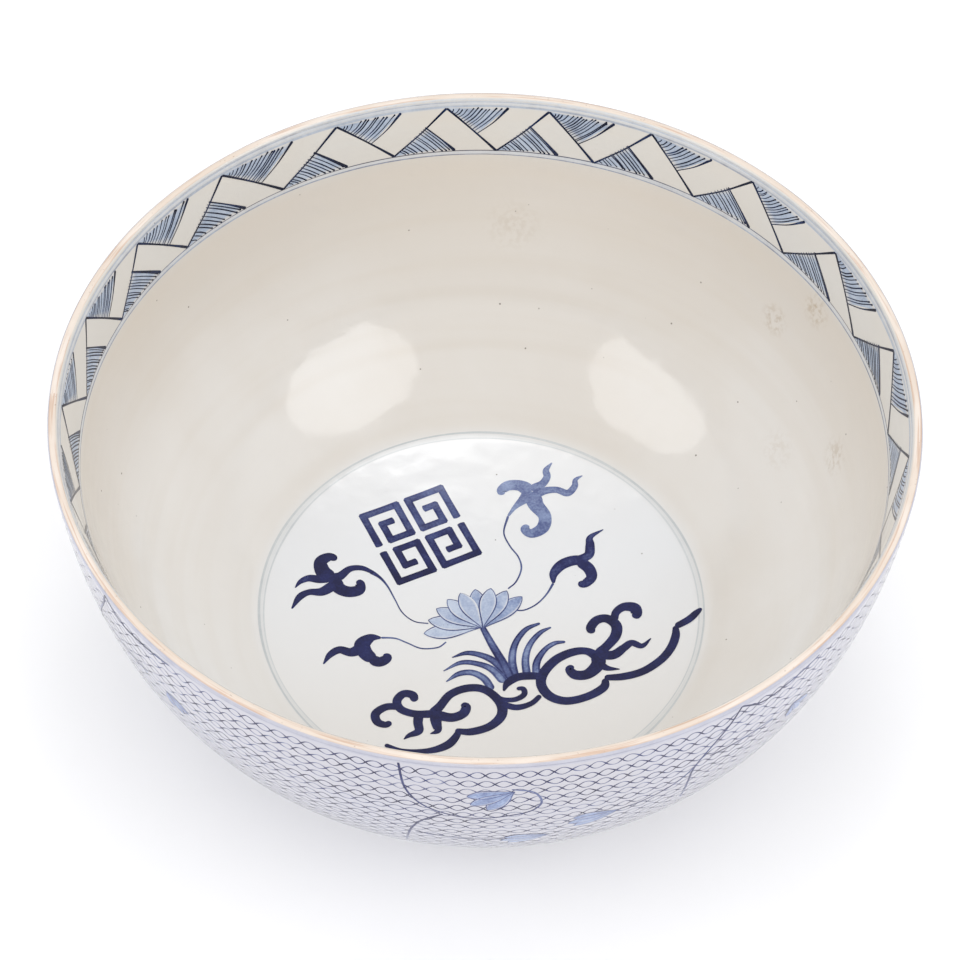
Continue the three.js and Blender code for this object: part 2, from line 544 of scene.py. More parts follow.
def footWellCoat():
    s = shape
    radius = s["footWellRadius"]
    ceiling = s["footHeight"] - s["glaze"]
    far = s["footWellFillet"]
    near = 0.3 * far
    corner = [(radius - far, ceiling), (radius - near, ceiling), (radius, ceiling - near)]
    fillet = bezier([*corner, (radius, ceiling - far)], 10)
    side = [(radius, s["bareFoot"]), (radius + s["glaze"], s["bareFoot"])]
    back = [(radius + s["glaze"], s["footHeight"]), (0, s["footHeight"])]
    radii = np.linspace(0, radius - 1.2 * far, 30)
    plate = np.stack([radii, np.full(30, ceiling)], 1)
    return turn("foot_well_glaze_coat", np.concatenate([plate, fillet, side, back]), outsideGlaze)


settle(thrownBody(), "fired_clay", "thrown_body")
settle(footRing(), "fired_clay", "foot_ring")
settle(coat("inside_glaze_coat", inside, insideGlaze), "clear_glaze", "inside_glaze")
settle(coat("outside_glaze_coat", outside, outsideGlaze), "clear_glaze", "outside_glaze")
settle(footWellCoat(), "clear_glaze", "foot_well_glaze")
print("clay and glaze turned")


# all painting is drawn flat as (angle, depth, lift) and laid on a face by a node tree


def sampleLine(bench, guide, depth):  # the place on a guide, and its tangent as another output
    line = bench.node("GeometryNodeObjectInfo", {"Object": guide}, out="Geometry")
    values = {"Curves": line, "Length": depth}
    settings = {"mode": "LENGTH", "use_all_curves": True}
    return bench.node("GeometryNodeSampleCurve", values, out="Position", **settings)


def layOnFace(bench, geometry, guide, material):
    angle, depth, lift = bench.node("GeometryNodeInputPosition").axes()
    sample = sampleLine(bench, guide, depth)
    lineRadius, _, lineHeight = sample.axes()
    outward, _, upward = sample.part("Tangent").axes()
    radius = lineRadius - upward * lift
    height = lineHeight + outward * lift
    x, y = radius * bench.math("COSINE", angle), radius * bench.math("SINE", angle)
    laid = bench.node("ShaderNodeCombineXYZ", {0: x, 1: y, 2: height})
    geometry = bench.node("GeometryNodeSetPosition", {"Geometry": geometry, "Position": laid})
    geometry = bench.node("GeometryNodeSetShadeSmooth", {"Geometry": geometry})
    geometry = bench.node("GeometryNodeRealizeInstances", {"Geometry": geometry})
    return bench.node("GeometryNodeSetMaterial", {"Geometry": geometry, "Material": material})


def newTree(name, inputs):
    tree = bpy.data.node_groups.new(name, "GeometryNodeTree")
    tree.interface.new_socket("Geometry", in_out="OUTPUT", socket_type="NodeSocketGeometry")
    for label, kind in inputs.items():
        tree.interface.new_socket(label, in_out="INPUT", socket_type="NodeSocket" + kind)
    return tree, Wire(tree).node("NodeGroupInput")


def grow(piece, tree, settings):  # runs a tree on a piece and keeps the result as a plain mesh
    modifier = piece.modifiers.new("work", "NODES")
    modifier.node_group = tree
    for item in tree.interface.items_tree:
        if item.in_out == "INPUT" and item.name in settings:
            modifier[item.identifier] = settings[item.name]
    graph = bpy.context.evaluated_depsgraph_get()
    mesh = bpy.data.meshes.new_from_object(piece.evaluated_get(graph), depsgraph=graph)
    piece.modifiers.remove(modifier)
    old = piece.data
    piece.data = mesh
    bpy.data.meshes.remove(old)
    mesh.name = piece.name
    return piece


def paintTree():
    labels = {"Geometry": "Geometry", "Guide": "Object", "Material": "Material"}
    tree, given = newTree("layPainting", labels)
    laid = layOnFace(given, given, given.part("Guide"), given.part("Material"))
    given.node("NodeGroupOutput", {0: laid})
    return tree


brush = {
    "lift": 0.045,  # millimetres over the glaze, and a little more for each new stroke
    "layer": 0.0015,
    "across": [-1, -0.7, 0.7, 1],  # places over a stroke's width
    "washedAcross": [-1, -0.7, -0.35, 0.35, 0.7, 1],
    "fadeReach": 0.35,  # share of a stroke over which it fades
    "toneSpread": 0.05,
    "toneWave": 0.06,
    "paleEdge": 0.12,
    "roundEnd": [0, 0.03, 0.12, 0.3, 0.6, 1],
    "petalInk": 0.62,
}


class Drawing:  # brushwork in millimetres on a flat sheet
    def __init__(self):
        self.places, self.faces, self.ink, self.cover = [], [], [], []
        self.strokes = 0

    def topLift(self):
        return brush["lift"] + brush["layer"] * (self.strokes % 100)

    def grid(self, rows, ink, cover, lift):  # rows: equal rows of points
        start = len(self.places)
        wide = len(rows[0])
        for i, row in enumerate(rows):
            for k, (x, y) in enumerate(row):
                self.places.append((x, y, lift))
                self.ink.append(ink[i][k])
                self.cover.append(cover[i][k])
        for i in range(len(rows) - 1):
            for k in range(wide - 1):
                a = start + i * wide + k
                self.faces.append((a, a + 1, a + wide + 1, a + wide))

    def stroke(self, points, ink, wash=0.0, step=0.8, fade=(0, 0), roundness=1.0, vary=1.0):
        # points are (x, y, width); wash lightens the middle; fade thins the ink at the two ends
        path = smoothed(np.array(points, float), step, roundness)
        xy, width, share = path[:, :2], path[:, 2], path[:, 3]
        run = np.gradient(xy, axis=0)
        run /= np.maximum(np.hypot(run[:, 0], run[:, 1]), 1e-9)[:, None]
        across = np.stack([-run[:, 1], run[:, 0]], 1)
        marks = brush["washedAcross"] if wash else brush["across"]
        tone = vary * randomHand.uniform(-brush["toneSpread"], brush["toneSpread"])
        waves = randomHand.uniform(0, 6)
        edge = brush["paleEdge"] * vary
        reach = brush["fadeReach"]
        self.strokes += 1
        rows, inks, covers = [], [], []
        for place, side, half, s in zip(xy, across, width / 2, share):
            rows.append([place + side * half * m for m in marks])
            end = fade[0] * max(0, 1 - s / reach) + fade[1] * max(0, 1 - (1 - s) / reach)
            level = ink + tone + brush["toneWave"] * vary * math.sin(waves + 9 * s) - end
            inks.append([level - (wash if abs(m) < 0.5 else edge * (abs(m) == 1)) for m in marks])
            covers.append([1 - 0.5 * max(0, end) for m in marks])
        self.grid(rows, inks, covers, self.topLift())

    def patch(self, left, right, ink, cover, lift=0.03, wide=6):  # a wash between two edges
        rows, inks, covers = [], [], []
        for a, b in zip(left, right):
            marks = np.linspace(0, 1, wide)
            rows.append([np.array(a) * (1 - m) + np.array(b) * m for m in marks])
            inks.append([ink + randomHand.uniform(-0.03, 0.03) for m in marks])
            covers.append([cover * (0.0 if m in (0, 1) else 1) for m in marks])
        self.grid(rows, inks, covers, lift)

    def piece(self, name, face, toSheet, material):
        places = np.array(self.places)
        angle, depth = toSheet(places[:, 0], places[:, 1])
        flat = np.stack([angle, depth, places[:, 2] * mm], 1)
        mesh = bpy.data.meshes.new(name)
        mesh.from_pydata(flat.tolist(), [], self.faces)
        for label, values in (("ink", self.ink), ("cover", self.cover)):
            mesh.attributes.new(label, "FLOAT", "POINT").data.foreach_set("value", values)
        return growOn(face, newObject(name, mesh), layPainting, {"Material": material})


def growOn(face, piece, tree, settings):  # the painted faces look the way the glaze does
    guide = face.guide("guide")
    grow(piece, tree, settings | {"Guide": guide})
    bpy.data.objects.remove(guide)
    first = piece.data.polygons[0]
    inwards = Vector((-first.center.x, -first.center.y, 0.05))
    looksIn = inwards.dot(first.normal) > 0
    if looksIn != (face is inside):
        piece.data.flip_normals()
    return piece


def smoothed(points, step, roundness):
    # a smooth run through (x, y, width) with round ends: rows of x, y, width and share of the way
    padded = np.concatenate([[2 * points[0] - points[1]], points, [2 * points[-1] - points[-2]]])
    parts = []
    for a, b, c, d in zip(padded, padded[1:], padded[2:], padded[3:]):
        count = max(2, math.ceil(math.hypot(*(c - b)[:2]) / step))
        t = np.linspace(0, 1, count, endpoint=False)[:, None]
        bend = (2 * a - 5 * b + 4 * c - d) * t**2 + (3 * b - a - 3 * c + d) * t**3
        parts.append(0.5 * (2 * b + (c - a) * t + bend))
    line = np.concatenate(parts + [points[-1:]])
    run = runAlong(line[:, :2])
    total = run[-1]
    cap = np.array(brush["roundEnd"])
    first, last = (max(points[k][2], 0.3) / 2 * roundness for k in (0, -1))
    middle = run[(run > first) & (run < total - last)]
    marks = np.concatenate([cap * first, middle, total - cap[::-1] * last])
    marks = np.unique(np.clip(marks, 0, total))
    rows = np.stack([np.interp(marks, run, line[:, k]) for k in range(3)], 1)
    rows[:, 2] = np.maximum(rows[:, 2], 0.02)
    for gone, reach in ((marks, first), (total - marks, last)):
        near = np.clip(gone / reach, 0, 1)
        rows[:, 2] *= np.sqrt(np.maximum(1 - (1 - near) ** 2, 0.0004))
    return np.concatenate([rows, (marks / total)[:, None]], 1)


layPainting = paintTree()

# the band of folded ribbon inside the lip: x to the right as seen from inside, y down the wall
border = {
    "apexAngles": [12, 31.5, 49, 66, 81.5, 96.5, 113, 132, 149.5, 165, 181]
    + [197.5, 214, 231, 248.5, 265, 282.5, 300, 317, 335, 353],
    "radius": 191.5,
    "top": 3.4,
    "bottom": 27.9,
    "fold": 0.61,
    "line": 1.0,
    "hatch": 0.68,
    "hatches": 11,
    "hatchStep": 1.4,
    "edgeStep": 1.2,
    "lipLines": [  # how far down, width, ink, cover, lift
        (1.0, 5.0, 0.08, 0.42, 0.026),
        (0.4, 1.0, 0.34, 0.55, 0.034),
        (2.9, 1.5, 0.34, 0.6, 0.034),
    ],
    "lowLines": [  # how far below the bottom, then the same
        (0.1, 0.6, 0.72, 0.9, 0.04),
        (1.3, 2.0, 0.02, 0.4, 0.028),
        (2.5, 0.9, 0.45, 0.7, 0.036),
    ],
}


def wander(reach):
    return randomHand.uniform(-reach, reach)


def borderDrawing():
    b = border
    art = Drawing()
    perDegree = b["radius"] * math.pi / 180
    apexes = sorted(b["apexAngles"], reverse=True)
    count = len(apexes)
    tops, lows = [], []
    for k, angle in enumerate(apexes):
        gap = (angle - apexes[(k + 1) % count]) % 360
        tops.append((-angle * perDegree, b["top"] + wander(0.5)))
        between = angle - gap * (0.49 + wander(0.03))
        lows.append((-between * perDegree, b["bottom"] + wander(0.4)))
    whole = 360 * perDegree
    for k in range(count):
        top = np.array(tops[k])
        low = np.array(lows[k])
        lowBefore = np.array(lows[k - 1])
        if lowBefore[0] > top[0]:
            lowBefore[0] -= whole
        topAfter = np.array(tops[(k + 1) % count])
        if topAfter[0] < low[0]:
            topAfter[0] += whole
        fold = b["fold"] + wander(0.03)
        down = low - top
        up = topAfter - low
        rise = top - lowBefore
        # washes under the two hatched triangles
        corner = lowBefore + rise * fold
        foot = corner + down * ((b["bottom"] - corner[1]) / down[1])
        marks = np.linspace(0, 1, 12)
        ribbonSide = [lowBefore + rise * fold * m for m in marks]
        art.patch(ribbonSide, [lowBefore + (foot - lowBefore) * m for m in marks], 0.24, 0.75)
        bend = top + down * fold
        lip = bend + up * ((b["top"] - bend[1]) / up[1])
        ribbonSide = [top + down * fold * m for m in marks]
        art.patch(ribbonSide, [top + (lip - top) * m for m in marks], 0.28, 0.75)
        # hatching, straight in the lower triangle and bowed in the upper one
        hatches = b["hatches"] + randomHand.choice((-1, 0, 1, 2))
        for i in range(hatches):
            share = fold * (0.1 + 0.9 * (i + 0.5 + wander(0.25)) / hatches)
            start = lowBefore + rise * share
            end = start + down * ((b["bottom"] - 0.3 - start[1] + wander(0.4)) / down[1])
            end[0] += wander(0.5) + 1.2 * (1 - share / fold)
            width = b["hatch"] * (1 + wander(0.25))
            middle = (start + end) / 2 + (0.3 + wander(0.2), 0)
            near = end * 0.93 + start * 0.07
            points = [(*start, width * 0.7), (*middle, width * 0.9), (*near, width)]
            points += [(*end, width * 2.6)]
            art.stroke(points, 1.0 + wander(0.07), step=b["hatchStep"], fade=(0.16, -0.1))
        hatches = b["hatches"] + randomHand.choice((0, 1, 2, 3))
        for i in range(hatches):
            share = fold * (0.1 + 0.86 * (i + 0.5 + wander(0.25)) / hatches)
            start = top + down * share
            end = start + up * ((b["top"] + 0.6 - start[1] + wander(0.6)) / up[1])
            end[0] += wander(0.5)
            width = b["hatch"] * (1 + wander(0.3))
            middle = (start + end) / 2 + (0.2, 0.5 + 0.4 * share)
            near = end * 0.92 + start * 0.08
            points = [(*start, width * 0.7), (*middle, width * 0.85), (*near, width)]
            points += [(*end, width * 2.4)]
            art.stroke(points, 0.96 + wander(0.09), step=b["hatchStep"], fade=(0.2, -0.1))
        # the ribbon's edges
        line, step = b["line"], b["edgeStep"]
        sag = wander(0.6)
        middle = top + down / 2 + (0.4 * sag, 0.5 * sag)
        points = [(*top, line * 1.2), (*middle, line * 0.9), (*low, line * 1.5)]
        art.stroke(points, 0.97, step=step)
        middle = low + up / 2 + (0.3, 1.2 + wander(0.4))
        points = [(*low, line), (*middle, line * 0.8), (*topAfter, line * 1.3)]
        art.stroke(points, 0.95, step=step)
        middle = (corner + foot) / 2 + (0.3, 0)
        points = [(*corner, line * 0.8), (*middle, line * 0.8), (*foot, line * 1.8)]
        art.stroke(points, 0.93, step=step)
        middle = (bend + lip) / 2 + (0.4, 1)
        points = [(*bend, line * 0.5), (*middle, line * 0.6), (*lip, line * 1.5)]
        art.stroke(points, 0.92, step=step)
    return art


def ringLine(art, reach, y, width, ink, cover, lift, wobble=0.12):
    # a line drawn right round on the wheel, reach millimetres long
    steps = 720
    marks = np.linspace(-1, 1, 4 + int(width / 0.6))  # wide washes need more points to lie close
    phase = randomHand.uniform(0, 6)
    rows, inks, covers = [], [], []
    for i in range(steps + 1):
        angle = 2 * math.pi * i / steps
        sway = wobble * (math.sin(2 * angle + phase) + 0.6 * math.sin(5 * angle + 2 * phase))
        swell = 1 + 0.2 * math.sin(3 * angle + phase) + 0.1 * math.sin(11 * angle)
        half = width / 2 * swell
        rows.append([(-reach * i / steps, y + sway + m * half) for m in marks])
        level = ink + 0.08 * math.sin(4 * angle + 2 * phase)
        inks.append([level] * len(marks))
        covers.append([0] + [cover] * (len(marks) - 2) + [0])
    art.grid(rows, inks, covers, lift)


def borderPiece():
    b = border
    art = borderDrawing()
    whole = 2 * math.pi * b["radius"]
    for start, lines in ((0, b["lipLines"]), (b["bottom"], b["lowLines"])):
        for down, *line in lines:
            ringLine(art, whole, start + down, *line)
    lipDepth = inside.depthAtHeight(bowlHeight - shape["lipDrop"])

    def toSheet(x, y):
        return -x / b["radius"], lipDepth - y * mm

    made = art.piece("border_brushwork", inside, toSheet, borderCobalt)
    return settle(made, "dark_cobalt", "border_painting")


borderPiece()
print("border painted")

wellRing = {
    "lines": [  # how far inside the well's edge, width, ink, cover, lift, wobble
        (1.2, 1.4, 0.35, 0.62, 0.036, 0.25),
        (2.6, 2.6, 0.1, 0.3, 0.026, 0.2),
        (3.9, 1.1, 0.3, 0.5, 0.036, 0.3),
    ],
}


def wellRingPiece():
    art = Drawing()
    radius = shape["wellRadius"] / mm
    whole = 2 * math.pi * radius
    edge = inside.depthAtRadius(shape["wellRadius"]) / mm
    for inwards, *line in wellRing["lines"]:
        ringLine(art, whole, edge - inwards, *line)

    def toSheet(x, y):
        return x / radius, y * mm

    made = art.piece("well_ring_brushwork", inside, toSheet, ringCobalt)
    return settle(made, "pale_cobalt", "well_ring_painting")


wellRingPiece()

# the painting in the well: x to the right, y away from the painter, in millimetres from the
# middle, and the brush's width
medallion = {
    "vines": [
        [(-26, -7, 0.7), (-33, -6, 0.65), (-39, -1, 0.65), (-43, 7, 0.7), (-47, 15, 1)]
        + [(-51, 20, 1.6), (-56, 23.5, 2.8)],
        [(-17, -18, 0.8), (-21, -21.5, 0.8), (-29, -22.5, 0.8), (-36, -19.5, 0.8), (-42, -17, 0.9)]
        + [(-49, -17, 1.2)],
        [(13, 15.5, 0.8), (17, 20, 0.8), (19.5, 28, 0.9), (18, 35, 0.8), (13.5, 42, 0.8)]
        + [(10.5, 50, 0.8), (12.5, 60, 1.3)],
        [(15.5, 2.5, 0.8), (21, 2.5, 0.8), (27, 6, 0.8), (32, 12, 0.9), (35.5, 19, 1.3)],
    ],
    "scrolls": [  # points, ink, wash
        ([(-54, 22.5, 2), (-60, 25, 3), (-66, 24, 3.6), (-71, 19, 5), (-77, 17, 8)], 0.92, 0.05),
        ([(-74, 17, 9), (-79, 21, 8), (-80.5, 27, 6.5), (-76.5, 30.5, 5)]
        + [(-72.5, 29.5, 3.6)], 0.94, 0.04),
        ([(-74, 18, 8), (-71, 12, 7), (-66, 10, 6.6), (-61, 11.5, 6), (-60.5, 15.5, 4.6)]
        + [(-62.5, 16.5, 3)], 0.92, 0.05),
        ([(-75, 18, 6), (-81, 16.5, 5), (-86, 16.5, 4), (-90, 14, 2.6), (-92.5, 10, 0.5)], 0.9, 0.06),
        ([(-73, 14, 6), (-79, 9, 5), (-85.5, 8, 3.6), (-90, 4.5, 3.6), (-93.5, -3, 0.8)], 0.9, 0.08),
        ([(-49, -17, 1.2), (-54, -17.5, 5), (-58, -22, 8), (-56, -27.5, 7.5)]
        + [(-51.5, -31, 6.6)], 0.92, 0.06),
        ([(-54, -30, 6.5), (-49.5, -32, 6), (-45.8, -29.5, 5), (-46.5, -26.5, 3.6)], 0.94, 0.04),
        ([(-57, -23, 7), (-63, -27, 5.4), (-69, -26, 4.4), (-73.5, -29.5, 3.4)]
        + [(-76.5, -35.5, 0.6)], 0.9, 0.08),
        ([(12.5, 60, 1.2), (16, 65.5, 2.6), (21, 71, 6), (24, 75.5, 9)], 0.44, 0.04),
        ([(24, 75, 9), (18.5, 78.5, 6.6), (12.5, 78.5, 6), (9, 75.5, 5), (10, 73, 3.4)], 0.44, 0.04),
        ([(24, 76, 6.5), (29.5, 79.5, 4.4), (32, 84, 3.8), (31.5, 88, 3.2)]
        + [(34.5, 92.5, 0.5)], 0.48, 0.06),
        ([(25, 73, 6.5), (31, 75.5, 4.4), (37, 76, 3.8), (42.5, 74, 4), (46, 78, 3.4)]
        + [(46.5, 82, 2.4), (50, 84.5, 0.5)], 0.52, 0.08),
        ([(24.5, 74, 10), (26.5, 67, 8), (31, 60, 6.6), (30, 53, 6.6), (24.5, 49.5, 5.4)]
        + [(21, 52, 4.4), (22.8, 54.5, 3.2)], 0.46, 0.04),
        ([(35.5, 19, 1.4), (35.8, 25, 4.6), (40, 30.5, 6), (47, 33, 6), (52.5, 30.5, 6)], 0.84, 0.16),
        ([(48, 32.5, 6), (53, 28, 6), (54.5, 22.5, 5.4), (51, 18.5, 4.8)]
        + [(47.8, 19, 3.4)], 0.86, 0.1),
        ([(47, 33, 4.5), (53, 36, 5), (53.8, 42, 4.6), (54, 47, 3), (60.5, 51.5, 0.5)], 0.84, 0.16),
    ],
    "grasses": [
        [(17, -39, 4.4), (15.5, -28, 4), (17, -18, 3.4), (22, -9.5, 2.8), (29, -5.5, 1.4)],
        [(23, -39, 4.2), (22, -28, 3.8), (24, -19, 3.2), (29, -11.5, 2.6), (34.5, -8, 0.9)],
        [(27.5, -39, 4.2), (27.5, -30, 3.8), (31, -22.5, 3), (36, -18, 2.6), (41.5, -17, 1.4)],
        [(14, -38, 5), (7, -29.5, 4.2), (0, -25.5, 3.4), (-7, -24.5, 2.6), (-14, -27.5, 0.6)],
        [(12, -42, 5), (6, -34.5, 4), (-1, -31, 3.2), (-9.5, -30.5, 2.6), (-18, -36, 0.5)],
        [(6, -47, 4), (2, -40, 4), (-4, -36.5, 3.6), (-10.5, -37.5, 3), (-16.5, -42.5, 0.6)],
    ],
    "waves": [
        [(-45, -83, 2.6), (-36, -85.5, 1.4), (-24, -85.5, 3.4), (-15, -81.5, 4.6)]
        + [(-10.5, -75, 3.6), (-10.5, -71.5, 2)],
        [(-11.5, -72.5, 3), (-4, -73, 4.4), (5, -69.5, 4.6), (10.5, -63, 5), (10.5, -56, 5)]
        + [(6, -49.5, 4.6), (0, -46, 4.6), (-7.5, -46.5, 4.6), (-14.5, -50.5, 4.4)]
        + [(-19, -57.5, 4.6), (-23, -63, 6)],
        [(-24, -62, 6), (-14, -64.5, 5.4), (-8, -62, 5), (-6.5, -57.5, 4.6), (-9, -56.5, 3)],
        [(-29, -61, 5), (-29.5, -68, 4.6), (-29, -73.5, 4.2), (-33.5, -76.5, 2.6), (-36, -79, 0.5)],
        [(-21.5, -63, 6), (-20.5, -69, 5), (-20, -73, 3.4), (-23.5, -75, 0.4)],
        [(-21, -62.5, 5), (-31, -63, 4.4), (-38, -60.5, 4.4), (-40, -55.5, 4.4), (-37, -51, 4.4)]
        + [(-32.5, -51.5, 4.6), (-31.5, -55.5, 3.6)],
        [(-38, -59, 4), (-45, -59.5, 4.2), (-50, -64, 4.4), (-49, -69, 4.4), (-45, -70.5, 3.8)]
        + [(-42.5, -68.5, 3)],
        [(8, -51, 2.6), (12, -52.8, 2.8), (17.5, -52.5, 3), (21.5, -49.5, 3), (21, -46, 2.8)]
        + [(17.8, -46, 2.2)],
        [(11, -55.5, 3.6), (18, -57.5, 3.6), (25, -55, 3), (29.5, -50, 2.6)],
        [(11.5, -47.5, 1), (13.5, -42.5, 4), (18.5, -38.8, 4.6), (25, -38, 4.6), (31, -38.5, 4)],
        [(61, -40, 3), (60, -45.5, 4.6), (52, -51, 4.6), (42, -53.5, 4.8), (34, -50.5, 5)]
        + [(29.8, -43.5, 5), (31, -36, 5), (37, -28, 5), (45, -23.5, 4.8), (52, -23, 4.4)]
        + [(58, -27, 6)],
        [(57, -24, 7), (57.5, -31, 7), (52.5, -37, 6), (46.5, -37.5, 5.6), (43.5, -34, 4.2)]
        + [(45.5, -32, 2.8)],
        [(57, -25, 6), (61.5, -20.5, 5), (66, -14, 5.4), (66.5, -7.5, 5.4), (62, -3.2, 5)]
        + [(57, -4, 5), (54, -8.5, 4.8), (55, -12, 3.6)],
        [(65.5, -5, 3.6), (66.5, 0.5, 4.2), (70.5, 3.8, 5), (75.5, 3, 6), (76.5, -1, 5.4)]
        + [(74.5, -2.5, 3.6)],
        [(58, -25.5, 5), (65, -25.5, 5.4), (70, -21.5, 4.4), (74, -18.5, 3.8), (79, -20.5, 3)]
        + [(83.5, -16, 0.5)],
        [(58, -30, 4), (61.5, -33.5, 3.4), (68, -34.5, 0.5)],
        [(60.5, -39.5, 3.4), (70, -39, 4.4), (79.5, -36, 4.4), (88, -29.5, 4.4), (93, -22.5, 4.4)]
        + [(95.5, -15, 4.2), (95.5, -9, 2.6)],
        [(95.5, -9.5, 3.6), (102, -5.5, 4), (106, -1.5, 3.4), (108.5, 1, 1.6)],
    ],
    "stem": [(0.5, -8, 3), (6, -20, 4), (11.5, -31, 4.4), (15, -40, 5)],
    "vineInk": 0.66,
    "grassInk": 0.74,
    "stemInk": 0.78,
    "waveInk": 0.93,
    "lotus": {
        "base": (1, -9),
        "petals": 9,
        "from": 189,
        "to": 46,
        "length": 24,
        "spread": 3.4,
        "width": 10,
        "line": 0.6,
        "ink": 0.04,
        "inkStep": 0.05,
        "lastInk": 0.16,
    },
    "emblem": {
        "centre": (-31.5, 47),
        "tilt": 27,
        "cell": 6.1,
        "brush": 4,
        "gap": 6.6,
        "fret": [(0, 3), (0, 0), (3, 0), (3, 3), (1.15, 3), (1.15, 1.3), (1.95, 1.3)],
        "ink": 0.94,
        "palesFrom": 30,
        "paling": 0.0065,
    },
}


def petal(art, base, angle, length, width, ink, line):
    run = np.array([math.cos(angle), math.sin(angle)])
    side = np.array([-run[1], run[0]])
    marks = np.linspace(0, 1, 14)
    half = width / 2 * np.sin(math.pi * marks**1.25) ** 0.8 * (0.25 + 0.75 * marks**0.5)
    spine = [np.array(base) + run * length * m for m in marks]
    left = [p + side * h for p, h in zip(spine, half)]
    right = [p - side * h for p, h in zip(spine, half)]
    art.patch(left, right, ink, 1.0, art.topLift(), 7)
    for edge in (left, right):
        art.strokes += 1
        points = [(*p, line * (0.7 + 0.5 * math.sin(math.pi * m))) for p, m in zip(edge, marks)]
        art.stroke(points[::2] + points[-1:], brush["petalInk"])


def drawLotus(art):
    s = medallion["lotus"]
    count = s["petals"]
    outerFirst = sorted(range(count), key=lambda i: -abs(i - count * 0.55))
    for i in outerFirst:
        share = i / (count - 1)
        angle = math.radians(s["from"] + (s["to"] - s["from"]) * share)
        length = s["length"] + s["spread"] * (2 * share - 1) ** 2
        base = (s["base"][0] - 2 * (1 - share) ** 2, s["base"][1])
        ink = s["ink"] + s["inkStep"] * (i % 3) + s["lastInk"] * share**3
        petal(art, base, angle, length, s["width"], ink, s["line"])


def drawEmblem(art):  # four mirrored key frets in a square, a plain filler pattern
    s = medallion["emblem"]
    width = s["brush"]
    cosine, sine = (way(math.radians(s["tilt"])) for way in (math.cos, math.sin))
    centre = np.array(s["centre"])
    for left in (-1, 1):
        for low in (-1, 1):
            corners = []
            for a, b in s["fret"]:
                x = left * (s["gap"] / 2 + (3 - a) * s["cell"])
                y = low * (s["gap"] / 2 + (3 - b) * s["cell"])
                corners.append(centre + (x * cosine - y * sine, x * sine + y * cosine))
            for start, end in zip(corners, corners[1:]):
                run = end - start
                run *= width * 0.42 / np.hypot(*run)  # past each corner, so that strokes overlap
                middle = (start + end) / 2
                ink = s["ink"] - s["paling"] * max(0, middle[1] - s["palesFrom"])
                points = [(*(start - run), width), (*middle, width * 0.94), (*(end + run), width)]
                art.stroke(points, ink, wash=0.06, roundness=0.35, vary=0.2)


def medallionPiece():
    m = medallion
    art = Drawing()
    drawEmblem(art)
    for points in m["vines"]:
        art.stroke(points, m["vineInk"])
    for points, ink, wash in m["scrolls"]:
        art.stroke(points, ink, wash=wash * 0.5, step=0.6, vary=0.2)
    for points in m["grasses"]:
        art.stroke(points, m["grassInk"], wash=0.24, step=0.7, fade=(0, -0.08))
    art.stroke(m["stem"], m["stemInk"], wash=0.2)
    for points in m["waves"]:
        art.stroke(points, m["waveInk"], step=0.6, vary=0.3)
    drawLotus(art)

    def toSheet(x, y):
        radius = np.hypot(x, y) * mm
        return np.arctan2(y, x), inside.depthAtRadius(radius)

    made = art.piece("medallion_brushwork", inside, toSheet, wellCobalt)
    return settle(made, "dark_cobalt", "medallion_painting")


medallionPiece()
print("well painted")

# the net of linked ovals outside is grown by a node tree row by row
net = {
    "Rows": 24,
    "Steps": 1800,
    "First Row": 8.6 * mm,
    "Row Pitch": 8 * mm,
    "Oval Length": 7.4 * mm,
    "Oval Height": 5.4 * mm,
    "Line Width": 0.72 * mm,
    "Lift": 0.03 * mm,
    "Sway": 2.2 * mm,  # how far a row strays from its height
    "Swing": 1.1,  # how unevenly the ovals follow each other
    "Ink": 0.66,
    "Cover": 0.86,
    "Seed": 5,
}


